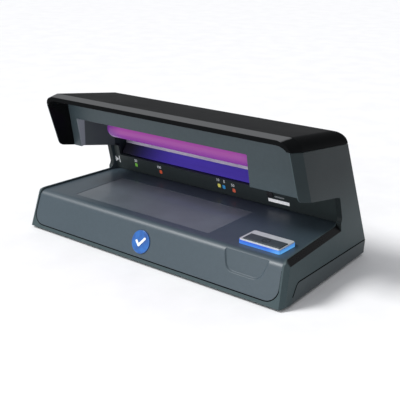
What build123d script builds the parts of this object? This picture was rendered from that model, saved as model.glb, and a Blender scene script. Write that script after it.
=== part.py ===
from build123d import *
import os
from math import cos, hypot, radians, sin

# Desktop ultraviolet bill detector, in millimetres.
# X runs along the length, the front faces -Y, Z is up and the feet stand on Z = 0.

os.makedirs("parts", exist_ok=True)

# ---- Driving dimensions -------------------------------------------------------

# Sides: two planes that close in towards the back and the top
half_width = 103.0
front_y = -51.0
side_back_taper = 0.0847
side_up_taper = 0.0494

# Side profile, as (y, z)
base_low_front = (-51.1, 1.5)
deck_corner = (-43.4, 25.1)
notch_low = (19.9, 27.1)
notch_top = (15.6, 45.7)
hood_low_front = (-27.6, 53.3)
hood_rim = (-38.7, 88.0)
top_break = (-31.0, 88.9)
top_back = (21.9, 82.5)
back_low = (51.0, 8.6)
base_low_back = (49.0, 1.5)

# Walls and clearances
side_wall = 3.4
wall = 2.2
cover_wall = 2.6
gap = 0.25
overrun = 5.0
reach = 130.0

# Housing
rim_rise = 1.1
deck_rim_radius = 5.0
notch_radius = 4.5
hood_low_radius = 5.5
back_top_radius = 10.0
crown_radius = 7.0
seam_drop = 7.2
rim_bevel = 2.8
rim_bevel_run = 8.0
rim_corner_radius = 7.5
rim_wall = 2.8
recess_depth = 18.0
recess_fall = 0.34
lip_top = 3.7
panel_corner_radius = 8.0
split_front_low = (-39.6, 5.0)
split_front_top = (-34.2, 11.6)
split_back = 9.5
foot_corner_radius = 6.5
foot_corner_end = 0.4
foot_corner_low = 0.5
foot_corner_run = 9.4

# Bevels of the base's rims, as (depth, width)
front_bevel = (2.4, 3.0)
deck_bevel = (2.4, 3.4)

# Back wall: vents and power inlet, measured up the wall from its foot
vent_height = 46.0
vent_pitch = 7.0
vent_count = 13
vent_length = 14.0
vent_width = 2.4
inlet_x = -68.0
inlet_height = 11.5
inlet_radius = 5.5
inlet_flange_radius = 7.0
inlet_flange = 1.2
inlet_depth = 13.0
inlet_bore_radius = 2.85
inlet_bore_depth = 9.5
inlet_pin_radius = 1.0
inlet_pin_short = 1.0

# Cover
seam_floor = 60.0
cover_inner_radius = 7.4
tongue_front_y = -6.0
tongue_back_y = 16.0
tongue_drop = 2.5
tongue_wall = 1.2

# Tray and feet
floor_z = 1.5
floor_top = 3.7
tray_back_inner = (47.6, 48.6)
foot_radius = 6.0
foot_recess = 1.0
foot_x = 68.0
foot_front_y = -34.0
foot_back_y = 36.0

# Case screws, driven up through the tray
screw_front_x = 90.0
screw_front_y = -39.2
boss_sink = 0.75
screw_back_x = 85.0
screw_back_y = 41.0
screw_radius = 1.45
screw_hole_radius = 1.5
screw_head_radius = 2.7
head_height = 1.8
head_pocket = 2.8
screw_length = 11.0
screw_depth = 10.0
boss_radius = 3.6
pad_radius = 4.4
pad_top = 6.4
boss_foot = 6.6
back_boss_top = 25.0

# Small screws and posts that hold the boards
small_screw_radius = 0.95
small_hole_radius = 1.0
small_head_radius = 1.9
small_head_height = 1.2
small_screw_length = 5.5
small_screw_recess = 0.5
post_radius = 2.6
board_thickness = 1.6

# Deck
deck_thickness = 2.2
deck_edge_radius = 5.5
deck_back_y = 24.4
panel_low = 2.6
light_size = (112.0, 42.0)
light_centre = (-16.0, 29.0)
light_ledge = 2.0
light_thickness = 1.2
light_sink = 0.1
light_board_size = (124.0, 34.0)
light_board_drop = 8.0
light_post_x = 59.0
led_pitch = (15.0, 20.0)
led_count = (8, 2)
led_size = (3.5, 2.8)
led_height = 1.0
board_corner = 1.0
board_hole_room = 0.1

# Scoop, in the plane of the front face
scoop_left = 62.4
scoop_right = 85.6
scoop_flare = 6.5
scoop_low = 11.4
scoop_top = 32.0
scoop_radius = 6.5
scoop_depth = 0.8
scoop_draft = 50.0

# Badge, in the plane of the front face
badge_x = -2.0
badge_height = 12.0
badge_radius = 7.1
badge_recess = 0.8
badge_thickness = 1.4
badge_edge = 0.3
mark_height = 0.25
mark_width = 1.5
check_points = ((-0.42, 0.02), (-0.12, -0.30), (0.44, 0.36))

# Button, on the deck: centre in x and distance back from the deck's front corner
button_centre = (76.4, 14.8)
button_size = (28.0, 15.5)
button_corner = 1.5
button_rise = 2.1
button_room = (26.4, 9.6)
neck_size = (26.8, 13.2)
neck_corner = 1.0
neck_drop = 3.4
ring_lift = 0.02
frame_height = 0.7
frame_inset = 0.3
cap_size = (24.8, 8.0)
cap_offset = (0.6, -2.3)
cap_gap = 0.2
cap_proud = 0.5
cap_flange = (25.8, 9.0, 0.8)
cap_corner = 0.4
cap_edge = 0.25
flange_gap = 0.05
cap_stem_radius = 1.9
icon_radius = 2.5
icon_ring = 0.5
icon_dot = 0.45
icon_height = 0.08
icon_x = 0.6

# Push switch under the button, below the deck plane
control_board_size = (38.8, 15.2)
control_board_y = 0.9
control_drop = 13.0
control_post_x = 16.5
control_post_y = 4.2
switch_size = 8.0
switch_height = 7.0
switch_wall = 0.8
switch_room_radius = 2.7
plunger_radius = 1.5
plunger_gap = 0.1
plunger_flange_radius = 2.4
plunger_flange_drop = 9.8
plunger_flange_height = 0.8
plunger_top_drop = 4.5
spring_radius = 1.8
spring_wire = 0.18
spring_turns = 3
spring_gap = 0.05

# Lamp: two tubes side by side, capped at the right
lamp_tip_x = -70.0
lamp_glass_end_x = 60.0
lamp_front = (-5.0, 65.4)
lamp_pitch = 15.5
lamp_radius = 6.0
lamp_fall = -7.0
bridge_x = -57.0
bridge_radius = 3.2
base_start_x = 57.4
base_end_x = 69.5
base_size = (33.0, 19.0)
post_size = (15.0, 11.0)
block_corner = 1.5
tube_gap = 0.05
post_end_x = 84.0
pin_radius = 1.1
pin_spacing = 23.0
pin_end_x = 77.0
socket_start_x = 69.8
socket_end_x = 88.0
socket_size = (33.0, 20.0)
socket_gap = 0.1
socket_end_gap = 0.5
socket_foot_span = (9.0, 17.0)
socket_foot_inset = 4.0
socket_foot_lap = 2.0

# Bezel plate and lamp chamber
bezel_low = (-16.0, 51.3)
bezel_high = (-21.9, 84.3)
bezel_thickness = 2.0
bezel_corner_radius = 5.5
bezel_inset = 4.0
window_left_x = -86.5
window_right_x = 54.6
window_high = 20.0
chamber_wall = 1.6
chamber_back = (14.6, 46.3)
return_depth = 5.0
return_fall = 0.6
return_heights = (1.0, 2.0)
chamber_front_rise = 27.0
chamber_profile = ((2.0, 78.5), (11.0, 72.0), (15.5, 60.0))
window_corner = 0.8
bezel_lap = 3.0
lamp_opening_radius = 6.8

# Reflector section, from its front lip up and over the lamp
reflector_points = ((24.6, 46.4), (25.0, 50.2), (24.0, 61.0), (17.0, 72.5),
                    (4.0, 78.2), (-10.0, 79.2), (-16.0, 76.4))
reflector_radius = 0.9
reflector_thickness = 0.6
reflector_start_x = -85.0
reflector_end_x = 53.5

# Column front
strip_low = (21.9, 27.6)
strip_high = (19.4, 38.2)
strip_top = (17.8, 45.0)
strip_thickness = 2.0
cove_points = ((21.4, 39.5), (26.2, 46.0))
cove_thickness = 1.4
cove_left_x = -86.0
cove_right_x = 56.2
label_centre = (49.8, 4.4)
label_size = (15.5, 2.1)
label_thickness = 0.3
lens_centre = (43.6, 8.4)
lens_radius = 2.4
lens_proud = 0.5
lens_recess = 1.0

# Ballast board on the tray
ballast_x = -8.0
ballast_y = 27.0
ballast_size = (96.0, 34.0)
ballast_post_x = 44.0
ballast_post_y = 13.0
ballast_z = 8.6
choke_place = (-36.0, 27.0)
choke_core = (16.0, 14.0, 9.0)
choke_winding_radius = 5.0
choke_winding_length = 18.0
capacitor_place = (-12.0, 29.0)
capacitor_radius = 5.0
capacitor_height = 13.0
capacitor_edge = 0.6
transistor_place = (8.0, 27.0)
transistor_size = (4.6, 3.4, 8.0)
transistor_pitch = 9.0
fuse_place = (26.0, 30.0)
fuse_radius = 2.6
fuse_length = 15.0
fuse_lift = 0.3
fuse_clip = (2.0, 6.4, 5.8)
fuse_clip_pitch = 12.0

# Leads
lead_radius = 0.7
lead_pitch = 2.4
lead_approach = 6.0
lead_turn = 2.5
lead_gap = 0.1
lamp_lead_start = (34.0, 22.0)
lamp_lead_corner = (62.0, 30.0)
lamp_lead_rise = (70.0, 33.0, 32.0)
lamp_lead_high = (27.0, 52.0)
supply_lead_end = (-51.0, 27.0)


# ---- Shared helpers ------------------------------------------------------------

def towards(start, end, distance):
    # Point at a distance from start on the line to end, in the side view
    length = hypot(end[0] - start[0], end[1] - start[1])
    share = distance / length
    return (start[0] + (end[0] - start[0]) * share, start[1] + (end[1] - start[1]) * share)


def beside(start, end, distance):
    # The line from start to end, moved to its right by a distance
    length = hypot(end[0] - start[0], end[1] - start[1])
    across = ((end[1] - start[1]) / length, (start[0] - end[0]) / length)
    return [(y + across[0] * distance, z + across[1] * distance) for y, z in (start, end)]


def meet(line, other):
    # Where two lines cross in the side view
    (ay, az), (by, bz) = line
    (cy, cz), (dy, dz) = other
    turn = (by - ay) * (dz - cz) - (bz - az) * (dy - cy)
    share = ((cy - ay) * (dz - cz) - (cz - az) * (dy - cy)) / turn
    return (ay + (by - ay) * share, az + (bz - az) * share)


def outline(*corners):
    # Closed side-view outline from (y, z, radius) corners
    with BuildSketch() as shape:
        with BuildLine():
            FilletPolyline([corner[:2] for corner in corners], radius=[corner[2] for corner in corners],
                           close=True)
        make_face()
    return shape.sketch


def strip_outline(points, radius, thickness, side=Side.RIGHT):
    # Side-view section of a bent sheet that follows the points
    with BuildSketch() as shape:
        with BuildLine():
            FilletPolyline(points, radius=radius)
            offset(amount=thickness, side=side)
        make_face()
    return shape.sketch


def half_at(y, z, inset=0.0):
    # Half width of the body at a place in the side view
    return half_width - side_back_taper * (y - front_y) - side_up_taper * z - inset


def side_plane(sign, inset=0.0):
    outward = Vector(sign, side_back_taper, side_up_taper).normalized()
    corner = Vector(sign * half_width, front_y, 0)
    return Plane(origin=corner - outward * inset, z_dir=outward)


def between_sides(shape, inset=0.0):
    # Side-view shape run from one side plane to the other
    with BuildPart() as block:
        with BuildSketch(Plane.YZ):
            add(shape)
        extrude(amount=reach, both=True)
        for sign in (-1, 1):
            split(bisect_by=side_plane(sign, inset), keep=Keep.BOTTOM)
    return block.part


def from_x(shape, start, end):
    # Side-view shape run from one x to another
    with BuildPart() as block:
        with BuildSketch(Plane.YZ.offset(start)):
            add(shape)
        extrude(amount=end - start)
    return block.part


def side_slabs(shape, outer, inner):
    # The two plates between an outer and an inner inset of the side planes
    with BuildPart() as slabs:
        add(between_sides(shape, outer))
        add(between_sides(shape, inner), mode=Mode.SUBTRACT)
    return slabs.part


def finish(part, name):
    part.label = name
    export_step(part, f"parts/{name}.step")


# Working planes
deck_slope = (notch_low[1] - deck_corner[1]) / (notch_low[0] - deck_corner[0])
deck_plane = Plane(origin=(0, *deck_corner), x_dir=(1, 0, 0), z_dir=(0, -deck_slope, 1))
top_slope = (top_back[1] - top_break[1]) / (top_back[0] - top_break[0])
top_plane = Plane(origin=(0, *top_break), x_dir=(1, 0, 0), z_dir=(0, -top_slope, 1))
seam_plane = top_plane.offset(-seam_drop)
front_rise = (deck_corner[0] - base_low_front[0], deck_corner[1] - base_low_front[1])
front_plane = Plane(origin=(0, *base_low_front), x_dir=(1, 0, 0), z_dir=(0, -front_rise[1], front_rise[0]))
rim_rise_line = (hood_rim[0] - hood_low_front[0], hood_rim[1] - hood_low_front[1])
rim_plane = Plane(origin=(0, *hood_rim), x_dir=(1, 0, 0), z_dir=(0, rim_rise_line[1], -rim_rise_line[0]))
strip_run = (strip_high[0] - strip_low[0], strip_high[1] - strip_low[1])
strip_plane = Plane(origin=(0, *strip_low), x_dir=(1, 0, 0), z_dir=(0, -strip_run[1], strip_run[0]))
bezel_run = (bezel_high[0] - bezel_low[0], bezel_high[1] - bezel_low[1])
bezel_plane = Plane(origin=(0, *bezel_low), x_dir=(1, 0, 0), z_dir=(0, -bezel_run[1], bezel_run[0]))


def front_panel_face(clearance):
    # Front view of the panel in the plane of the front face, with rounded lower corners
    low = (lip_top - base_low_front[1]) + gap - clearance
    high = low + 40.0
    inset = side_wall + gap - clearance
    half_low = half_at(*towards(base_low_front, deck_corner, low), inset)
    half_high = half_at(*towards(base_low_front, deck_corner, high), inset)
    radius = panel_corner_radius + clearance
    with BuildSketch() as face:
        with BuildLine():
            FilletPolyline((-half_high, high), (-half_low, low), (half_low, low), (half_high, high),
                           radius=[0, radius, radius, 0], close=True)
        make_face()
    return face.sketch


def front_corner_blocks(clearance, ahead, behind):
    # The lip below the front panel and the two corners beside its rounded ends
    height = 14.0
    line = (base_low_front, towards(base_low_front, deck_corner, height))
    outer = beside(*line, -ahead)
    inner = beside(*line, behind)
    with BuildPart() as blocks:
        add(between_sides(outline((*outer[0], 0), (*outer[1], 0), (*inner[1], 0), (*inner[0], 0))))
        with BuildSketch(front_plane.offset(-overrun)):
            add(front_panel_face(clearance))
        extrude(amount=2 * overrun, mode=Mode.SUBTRACT)
    return blocks.part


def rim_wedge(sign, start, end, depth, width, run_on):
    # Prism that bevels the outer edge of a side along a rim, with the material on the rim's right
    first = Vector(sign * half_at(*start), *start)
    last = Vector(sign * half_at(*end), *end)
    along = (last - first).normalized()
    outward = side_plane(sign).z_dir
    inward = outward.cross(along) if sign < 0 else along.cross(outward)
    section = Plane(origin=first - along * run_on[0], x_dir=inward, z_dir=along)
    up = 1 if section.y_dir.dot(outward) > 0 else -1
    slope = depth / width
    spare = 2.0
    with BuildPart() as wedge:
        with BuildSketch(section):
            Polygon((-spare, -up * (depth + slope * spare)), (width + spare, up * slope * spare),
                    (-spare, up * slope * spare), align=None)
        extrude(amount=(last - first).length + run_on[0] + run_on[1])
    return wedge.part


def crown_cutter(sign, radius):
    # Everything outside the rounded edge between the top and a side
    run_on = 4 * overrun
    start = (top_break[0] - run_on, top_break[1] - run_on * top_slope)
    end = (top_back[0] + run_on, top_back[1] + run_on * top_slope)
    first = Vector(sign * half_at(*start), *start)
    last = Vector(sign * half_at(*end), *end)
    along = (last - first).normalized()
    across = along.cross(top_plane.z_dir).normalized()
    across = across if across.X * sign > 0 else -across
    section = Plane(origin=first, x_dir=across, z_dir=along)
    up = 1 if section.y_dir.Z > 0 else -1
    down = along.cross(side_plane(sign).z_dir).normalized()
    down = down if down.Z < 0 else -down
    size = 3 * radius
    foot = (down.dot(across) * size, down.dot(section.y_dir) * size)
    with BuildPart() as cutter:
        with BuildSketch(section):
            with BuildLine():
                FilletPolyline((-size, 0), (0, 0), foot, (size, foot[1]),
                               (size, up * size), (-size, up * size),
                               radius=[0, radius, 0, 0, 0, 0], close=True)
            make_face()
        extrude(amount=(last - first).length)
    return cutter.part


def rim_section(depth, half_top, half_low, top, low, radius):
    # Front view of an opening in the hood, some way behind the plane of its rim
    with BuildSketch(rim_plane.offset(depth)) as opening:
        with BuildLine():
            FilletPolyline((-half_top, top), (half_top, top), (half_low, low), (-half_low, low),
                           radius=[radius, radius, 0, 0], close=True)
        make_face()
    return opening.sketch


def rim_half(depth, down, inset):
    # Half width at a depth behind the rim plane and a distance down it
    point = rim_plane.from_local_coords(Vector(0, down, depth))
    return half_at(point.Y, point.Z, inset)


def hood_rim_cutter():
    # The long shallow bevel around the hood's front rim, as a block with a flared opening
    run = 3 * rim_bevel_run
    low = 60.0
    widen = rim_bevel / rim_bevel_run
    break_local = rim_plane.to_local_coords(Vector(0, *top_break))
    drop = break_local.Y / break_local.Z
    with BuildPart() as flared:
        for depth in (-overrun, run):
            add(rim_section(depth, rim_half(depth, 0, rim_bevel) + widen * depth,
                            rim_half(depth, low, rim_bevel) + widen * depth, drop * depth, low,
                            rim_corner_radius))
        loft()
    with BuildPart() as cutter:
        with BuildSketch(rim_plane.offset(1 - overrun)):
            with Locations((0, low / 2 - 2 * overrun)):
                Rectangle(2 * reach, low - overrun)
        extrude(amount=run + overrun - 2)
        add(flared.part, mode=Mode.SUBTRACT)
    return cutter.part


def hood_recess():
    # The open space in front of the lamp bezel, from the rim back to the plate
    low = 60.0
    top_at_depth = {-overrun: rim_wall - overrun * recess_fall,
                    recess_depth: rim_wall + recess_depth * recess_fall}
    with BuildPart() as recess:
        for depth, top in top_at_depth.items():
            add(rim_section(depth, rim_half(depth, top, side_wall), rim_half(depth, low, side_wall), top, low,
                            rim_corner_radius))
        loft()
    return recess.part


def foot_corner_cutter(sign):
    # Rounds the housing's lower front corner, fading out towards the tray
    high = 3 * foot_corner_radius
    start = front_y - overrun
    end = front_y + foot_corner_run
    with BuildPart() as kept:
        for y, radius in ((start, foot_corner_radius), (end, foot_corner_end)):
            high_corner = (sign * half_at(y, high, -gap / 10), high)
            low_corner = (sign * half_at(y, foot_corner_low, -gap / 10), foot_corner_low)
            with BuildSketch(Plane(origin=(0, y, 0), x_dir=(1, 0, 0), z_dir=(0, -1, 0))):
                with BuildLine():
                    FilletPolyline((0, high), high_corner, low_corner, (0, foot_corner_low),
                                   radius=[0, 0, radius, 0], close=True)
                make_face()
        loft()
    width = 2 * foot_corner_radius + overrun
    with BuildPart() as cutter:
        with Locations((sign * half_width, start, 2 * foot_corner_radius)):
            Box(width, end - start, 4 * foot_corner_radius, align=(Align.CENTER, Align.MIN, Align.MAX))
        add(kept.part, mode=Mode.SUBTRACT)
    return cutter.part


# ---- Outer shapes shared by the housing and the top cover ----------------------

rim_corner = (deck_corner[0] - 0.3, deck_corner[1] + rim_rise)
rim_back = (notch_low[0] - 0.3, notch_low[1] + rim_rise)
side_profile = outline((*base_low_front, 1.5), (*rim_corner, deck_rim_radius), (*rim_back, notch_radius),
                       (*notch_top, 2.5), (*hood_low_front, hood_low_radius), (*hood_rim, 0.6),
                       (*top_break, 0), (*top_back, back_top_radius), (*back_low, 1.0),
                       (*base_low_back, 1.0))
rim_cutter = hood_rim_cutter()
tray_side = outline((*split_front_low, 0), (*split_front_top, 5.0), (back_low[0] - 0.35, split_back, 0),
                    (*back_low, 0), (*base_low_back, 0), (split_front_low[0] - 1.2, floor_z, 0))


# ---- Main housing: both sides, the back wall and the front lip in one moulding ----

back_line = (back_low, top_back)
back_inner = beside(*back_line, -wall)
back_wall = outline((*back_low, 0), (*top_back, 0), (*back_inner[1], 0), (*back_inner[0], 0))
back_run = (top_back[0] - back_low[0], top_back[1] - back_low[1])
back_plane = Plane(origin=(0, *back_low), x_dir=(-1, 0, 0), z_dir=(0, back_run[1], -back_run[0]))
up_from = (Align.CENTER, Align.CENTER, Align.MIN)

with BuildSketch() as tray_side_opening:
    add(tray_side)
    offset(amount=gap)

with BuildPart() as main_housing:
    add(side_slabs(side_profile, 0, side_wall))
    add(between_sides(back_wall))
    add(front_corner_blocks(gap, 0, wall))
    split(bisect_by=seam_plane.offset(-gap / 2), keep=Keep.BOTTOM)
    add(rim_cutter, mode=Mode.SUBTRACT)
    for sign in (-1, 1):
        add(rim_wedge(sign, base_low_front, rim_corner, *front_bevel, (overrun, overrun)), mode=Mode.SUBTRACT)
        add(rim_wedge(sign, rim_corner, rim_back, *deck_bevel, (overrun, -notch_radius / 2)),
            mode=Mode.SUBTRACT)
        add(foot_corner_cutter(sign), mode=Mode.SUBTRACT)
    add(between_sides(tray_side_opening.sketch, -overrun), mode=Mode.SUBTRACT)
    with Locations(*[(sign * screw_back_x, screw_back_y, boss_foot) for sign in (-1, 1)]):
        Cylinder(boss_radius, back_boss_top - boss_foot, align=up_from)
        Cylinder(screw_hole_radius, screw_depth, align=up_from, mode=Mode.SUBTRACT)
    with BuildSketch(back_plane):
        with Locations((0, vent_height)):
            with GridLocations(vent_pitch, 0, vent_count, 1):
                SlotOverall(vent_length, vent_width, rotation=90)
        with Locations((-inlet_x, inlet_height)):
            Circle(inlet_radius + gap / 2)
    extrude(amount=-2 * wall, mode=Mode.SUBTRACT)
finish(main_housing.part, "main_housing")


# ---- Top cover: glossy shell over the hood, meeting the housing at one flat seam ----

ceiling = beside(top_break, top_back, cover_wall)
inner_corner = meet(ceiling, back_inner)
room_front_y = bezel_high[0]
room_front_z = ceiling[0][1] + top_slope * (room_front_y - ceiling[0][0])
room_back = meet(back_inner, ((0, seam_floor), (1, seam_floor)))
cover_room = outline((room_front_y, seam_floor, 0), (room_front_y, room_front_z, 0),
                     (*inner_corner, cover_inner_radius), (*room_back, 0))


def seam_z(y, rise):
    return top_break[1] - seam_drop * hypot(1, top_slope) + top_slope * (y - top_break[0]) + rise


def seam_band(low, high):
    # Side-view band beside the seam, between two heights above it
    return outline((tongue_front_y, seam_z(tongue_front_y, low), 0),
                   (tongue_front_y, seam_z(tongue_front_y, high), 0),
                   (tongue_back_y, seam_z(tongue_back_y, high), 0),
                   (tongue_back_y, seam_z(tongue_back_y, low), 0))


with BuildPart() as top_cover:
    add(between_sides(side_profile))
    split(bisect_by=seam_plane.offset(gap / 2), keep=Keep.TOP)
    add(between_sides(cover_room, side_wall), mode=Mode.SUBTRACT)
    add(hood_recess(), mode=Mode.SUBTRACT)
    add(rim_cutter, mode=Mode.SUBTRACT)
    for sign in (-1, 1):
        add(crown_cutter(sign, crown_radius), mode=Mode.SUBTRACT)
    # Tongues that locate the cover inside the housing's sides
    add(side_slabs(seam_band(gap, tongue_drop), side_wall - gap, side_wall + gap + tongue_wall))
    add(side_slabs(seam_band(-tongue_drop, tongue_drop), side_wall + gap, side_wall + gap + tongue_wall))
finish(top_cover.part, "top_cover")


# ---- Bottom tray: floor, low sides and back, screw pads, standoffs and foot pockets ----

high_above = split_front_top[1] + overrun
tray_room = outline((-reach / 2, floor_top, 0), (tray_back_inner[0], floor_top, 0),
                    (tray_back_inner[1], high_above, 0), (-reach / 2, high_above, 0))
lip_back = beside(base_low_front, towards(base_low_front, deck_corner, lip_top), wall + gap)
floor_front = outline((lip_back[0][0] + 2 * gap, floor_z, 0),
                      (*meet(lip_back, ((0, floor_top), (1, floor_top))), 0),
                      (split_front_low[0] + overrun, floor_top, 0),
                      (split_front_low[0] + overrun, floor_z, 0))
screw_places = [(sign * x, y) for sign in (-1, 1) for x, y in ((screw_front_x, screw_front_y),
                                                            (screw_back_x, screw_back_y))]
foot_places = [(sign * foot_x, y) for sign in (-1, 1) for y in (foot_front_y, foot_back_y)]
post_places = [(ballast_x + dx, ballast_y + dy) for dx in (-ballast_post_x, ballast_post_x)
               for dy in (-ballast_post_y, ballast_post_y)]

with BuildPart() as bottom_tray:
    add(between_sides(tray_side, gap / 2))
    add(between_sides(tray_room, side_wall), mode=Mode.SUBTRACT)
    add(between_sides(floor_front, side_wall + gap))
    with Locations(*[(x, y, floor_z) for x, y in screw_places]):
        Cylinder(pad_radius, pad_top - floor_z, align=up_from)
        Cylinder(screw_head_radius + gap, head_pocket, align=up_from, mode=Mode.SUBTRACT)
        Cylinder(screw_radius + gap, pad_top, align=up_from, mode=Mode.SUBTRACT)
    with Locations(*[(x, y, floor_z) for x, y in foot_places]):
        Cylinder(foot_radius + wall, floor_top - floor_z, align=up_from)
        Cylinder(foot_radius + gap / 2, foot_recess, align=up_from, mode=Mode.SUBTRACT)
    with Locations(*[(x, y, floor_z) for x, y in post_places]):
        Cylinder(post_radius, ballast_z - floor_z, align=up_from)
    with Locations(*[(x, y, ballast_z - small_screw_length) for x, y in post_places]):
        Cylinder(small_hole_radius, small_screw_length, align=up_from, mode=Mode.SUBTRACT)
finish(bottom_tray.part, "bottom_tray")

with BuildPart() as rubber_feet:
    with Locations(*[(x, y, 0) for x, y in foot_places]):
        Cylinder(foot_radius, floor_z + foot_recess, align=up_from)
    chamfer(rubber_feet.faces().sort_by(Axis.Z)[:4].edges(), 0.5)
finish(rubber_feet.part, "rubber_feet")


# ---- Screws ------------------------------------------------------------------------

def pan_screw(radius, head_radius, head_height, length, recess):
    # Screw with its head's bearing face at the origin and its shank along +Z
    with BuildPart() as screw:
        with Locations((0, 0, -head_height)):
            Cylinder(head_radius, head_height, align=up_from)
        Cylinder(radius, length, align=up_from)
        chamfer(screw.faces().sort_by(Axis.Z)[0].edges(), head_height / 4)
        with BuildSketch(Plane.XY.offset(-head_height)):
            for angle in (0, 90):
                Rectangle(1.3 * head_radius, 0.3 * head_radius, rotation=angle)
        extrude(amount=recess, mode=Mode.SUBTRACT)
    return screw.part


case_screw = pan_screw(screw_radius, screw_head_radius, head_height, screw_length, head_height / 2)
case_screws = Compound([Pos(x, y, floor_z + head_pocket) * case_screw for x, y in screw_places])
finish(case_screws, "case_screws")


# ---- Deck panel: deck and front face in one bent moulding --------------------------------

front_start = towards(base_low_front, deck_corner, panel_low)
deck_end = (deck_back_y, deck_corner[1] + deck_slope * (deck_back_y - deck_corner[0]))
deck_section = strip_outline([front_start, deck_corner, deck_end], deck_edge_radius, deck_thickness)
board_posts = [(light_centre[0] + dx, light_centre[1]) for dx in (-light_post_x, light_post_x)]
control_posts = [(button_centre[0] + shift, button_centre[1] + control_post_y)
                 for shift in (-control_post_x, control_post_x)]

with BuildPart() as deck_panel:
    add(between_sides(deck_section, side_wall + gap))
    add(front_corner_blocks(0, overrun / 2, overrun), mode=Mode.SUBTRACT)
    # Opening and ledge for the light panel
    with BuildSketch(deck_plane):
        with Locations(light_centre):
            Rectangle(light_size[0] + gap, light_size[1] + gap)
    extrude(amount=-light_thickness, mode=Mode.SUBTRACT)
    with BuildSketch(deck_plane):
        with Locations(light_centre):
            Rectangle(light_size[0] - 2 * light_ledge, light_size[1] - 2 * light_ledge)
    extrude(amount=-2 * deck_thickness, mode=Mode.SUBTRACT)
    # Opening for the button's neck
    with BuildSketch(deck_plane):
        with Locations(button_centre):
            RectangleRounded(neck_size[0] + 2 * gap, neck_size[1] + 2 * gap, neck_corner + gap)
    extrude(amount=-2 * deck_thickness, mode=Mode.SUBTRACT)
    # Thumb scoop in the front face, open at the top
    with BuildSketch(front_plane):
        with BuildLine():
            FilletPolyline((scoop_left - scoop_flare, scoop_top), (scoop_left, scoop_low),
                           (scoop_right, scoop_low),
                           (scoop_right + scoop_flare, scoop_top), radius=[0, scoop_radius, scoop_radius, 0],
                           close=True)
        make_face()
    extrude(amount=-scoop_depth, taper=scoop_draft, mode=Mode.SUBTRACT)
    # Badge pocket
    with BuildSketch(front_plane):
        with Locations((badge_x, badge_height)):
            Circle(badge_radius + gap / 2)
    extrude(amount=-badge_recess, mode=Mode.SUBTRACT)
    # Bosses for the case screws
    with Locations(*[(sign * screw_front_x, screw_front_y, boss_foot) for sign in (-1, 1)]):
        Cylinder(boss_radius, deck_corner[1] - boss_sink * deck_thickness - boss_foot, align=up_from)
        Cylinder(screw_hole_radius, screw_depth, align=up_from, mode=Mode.SUBTRACT)
    # Posts that the two boards hang from
    for places, drop in ((board_posts, light_board_drop), (control_posts, control_drop)):
        with BuildSketch(deck_plane.offset(-deck_thickness / 2)):
            with Locations(*places):
                Circle(post_radius)
        extrude(amount=deck_thickness / 2 - drop)
        with BuildSketch(deck_plane.offset(-drop)):
            with Locations(*places):
                Circle(small_hole_radius)
        extrude(amount=small_screw_length, mode=Mode.SUBTRACT)
finish(deck_panel.part, "deck_panel")

with BuildPart() as backlight_diffuser:
    with BuildSketch(deck_plane.offset(-light_thickness)):
        with Locations(light_centre):
            Rectangle(*light_size)
    extrude(amount=light_thickness - light_sink)
finish(backlight_diffuser.part, "backlight_diffuser")


def board_on(plane, centre, size, holes):
    # Circuit board whose top lies on a plane, with screw holes
    with BuildPart() as board:
        with BuildSketch(plane.offset(-board_thickness)):
            with Locations(centre):
                RectangleRounded(*size, board_corner)
            with Locations(*holes):
                Circle(small_hole_radius + board_hole_room, mode=Mode.SUBTRACT)
        extrude(amount=board_thickness)
    return board.part


light_board_plane = deck_plane.offset(-light_board_drop)
backlight_board = board_on(light_board_plane, light_centre, light_board_size, board_posts)
finish(backlight_board, "backlight_board")

with BuildPart() as backlight_leds:
    with BuildSketch(light_board_plane):
        with Locations(light_centre):
            with GridLocations(led_pitch[0], led_pitch[1], led_count[0], led_count[1]):
                Rectangle(*led_size)
    extrude(amount=led_height)
finish(backlight_leds.part, "backlight_leds")


# ---- Badge -------------------------------------------------------------------------------

with BuildPart() as badge_disc:
    with BuildSketch(front_plane.offset(-badge_recess)):
        with Locations((badge_x, badge_height)):
            Circle(badge_radius)
    extrude(amount=badge_thickness)
    fillet(badge_disc.edges().filter_by(GeomType.CIRCLE).sort_by(Axis.Y)[0], badge_edge)
finish(badge_disc.part, "badge_disc")

badge_face = front_plane.offset(badge_thickness - badge_recess)
with BuildPart() as badge_mark:
    with BuildSketch(badge_face):
        with BuildLine():
            Polyline([(badge_x + x * badge_radius, badge_height + y * badge_radius) for x, y in check_points])
            offset(amount=mark_width / 2, side=Side.BOTH)
        make_face()
    extrude(amount=mark_height)
finish(badge_mark.part, "badge_mark")


# ---- Power button: light ring, silver frame, moving cap and push switch ------------------

cap_centre = (button_centre[0] + cap_offset[0], button_centre[1] + cap_offset[1])


def deck_block(centre, size, low, high, corner=0.0):
    # Block on the deck plane, from one height above it to another
    with BuildPart() as block:
        with BuildSketch(deck_plane.offset(low)):
            with Locations(centre):
                if corner:
                    RectangleRounded(*size, corner)
                else:
                    Rectangle(*size)
        extrude(amount=high - low)
    return block.part


def deck_pin(centre, radius, low, high):
    with BuildPart() as pin:
        with BuildSketch(deck_plane.offset(low)):
            with Locations(centre):
                Circle(radius)
        extrude(amount=high - low)
    return pin.part


room_low = -neck_drop - 1.0
with BuildPart() as button_light_ring:
    add(deck_block(button_centre, button_size, ring_lift, button_rise, button_corner))
    add(deck_block(button_centre, neck_size, -neck_drop, ring_lift, neck_corner))
    add(deck_block(cap_centre, button_room, room_low, button_rise + 1.0), mode=Mode.SUBTRACT)
finish(button_light_ring.part, "button_light_ring")

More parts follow.
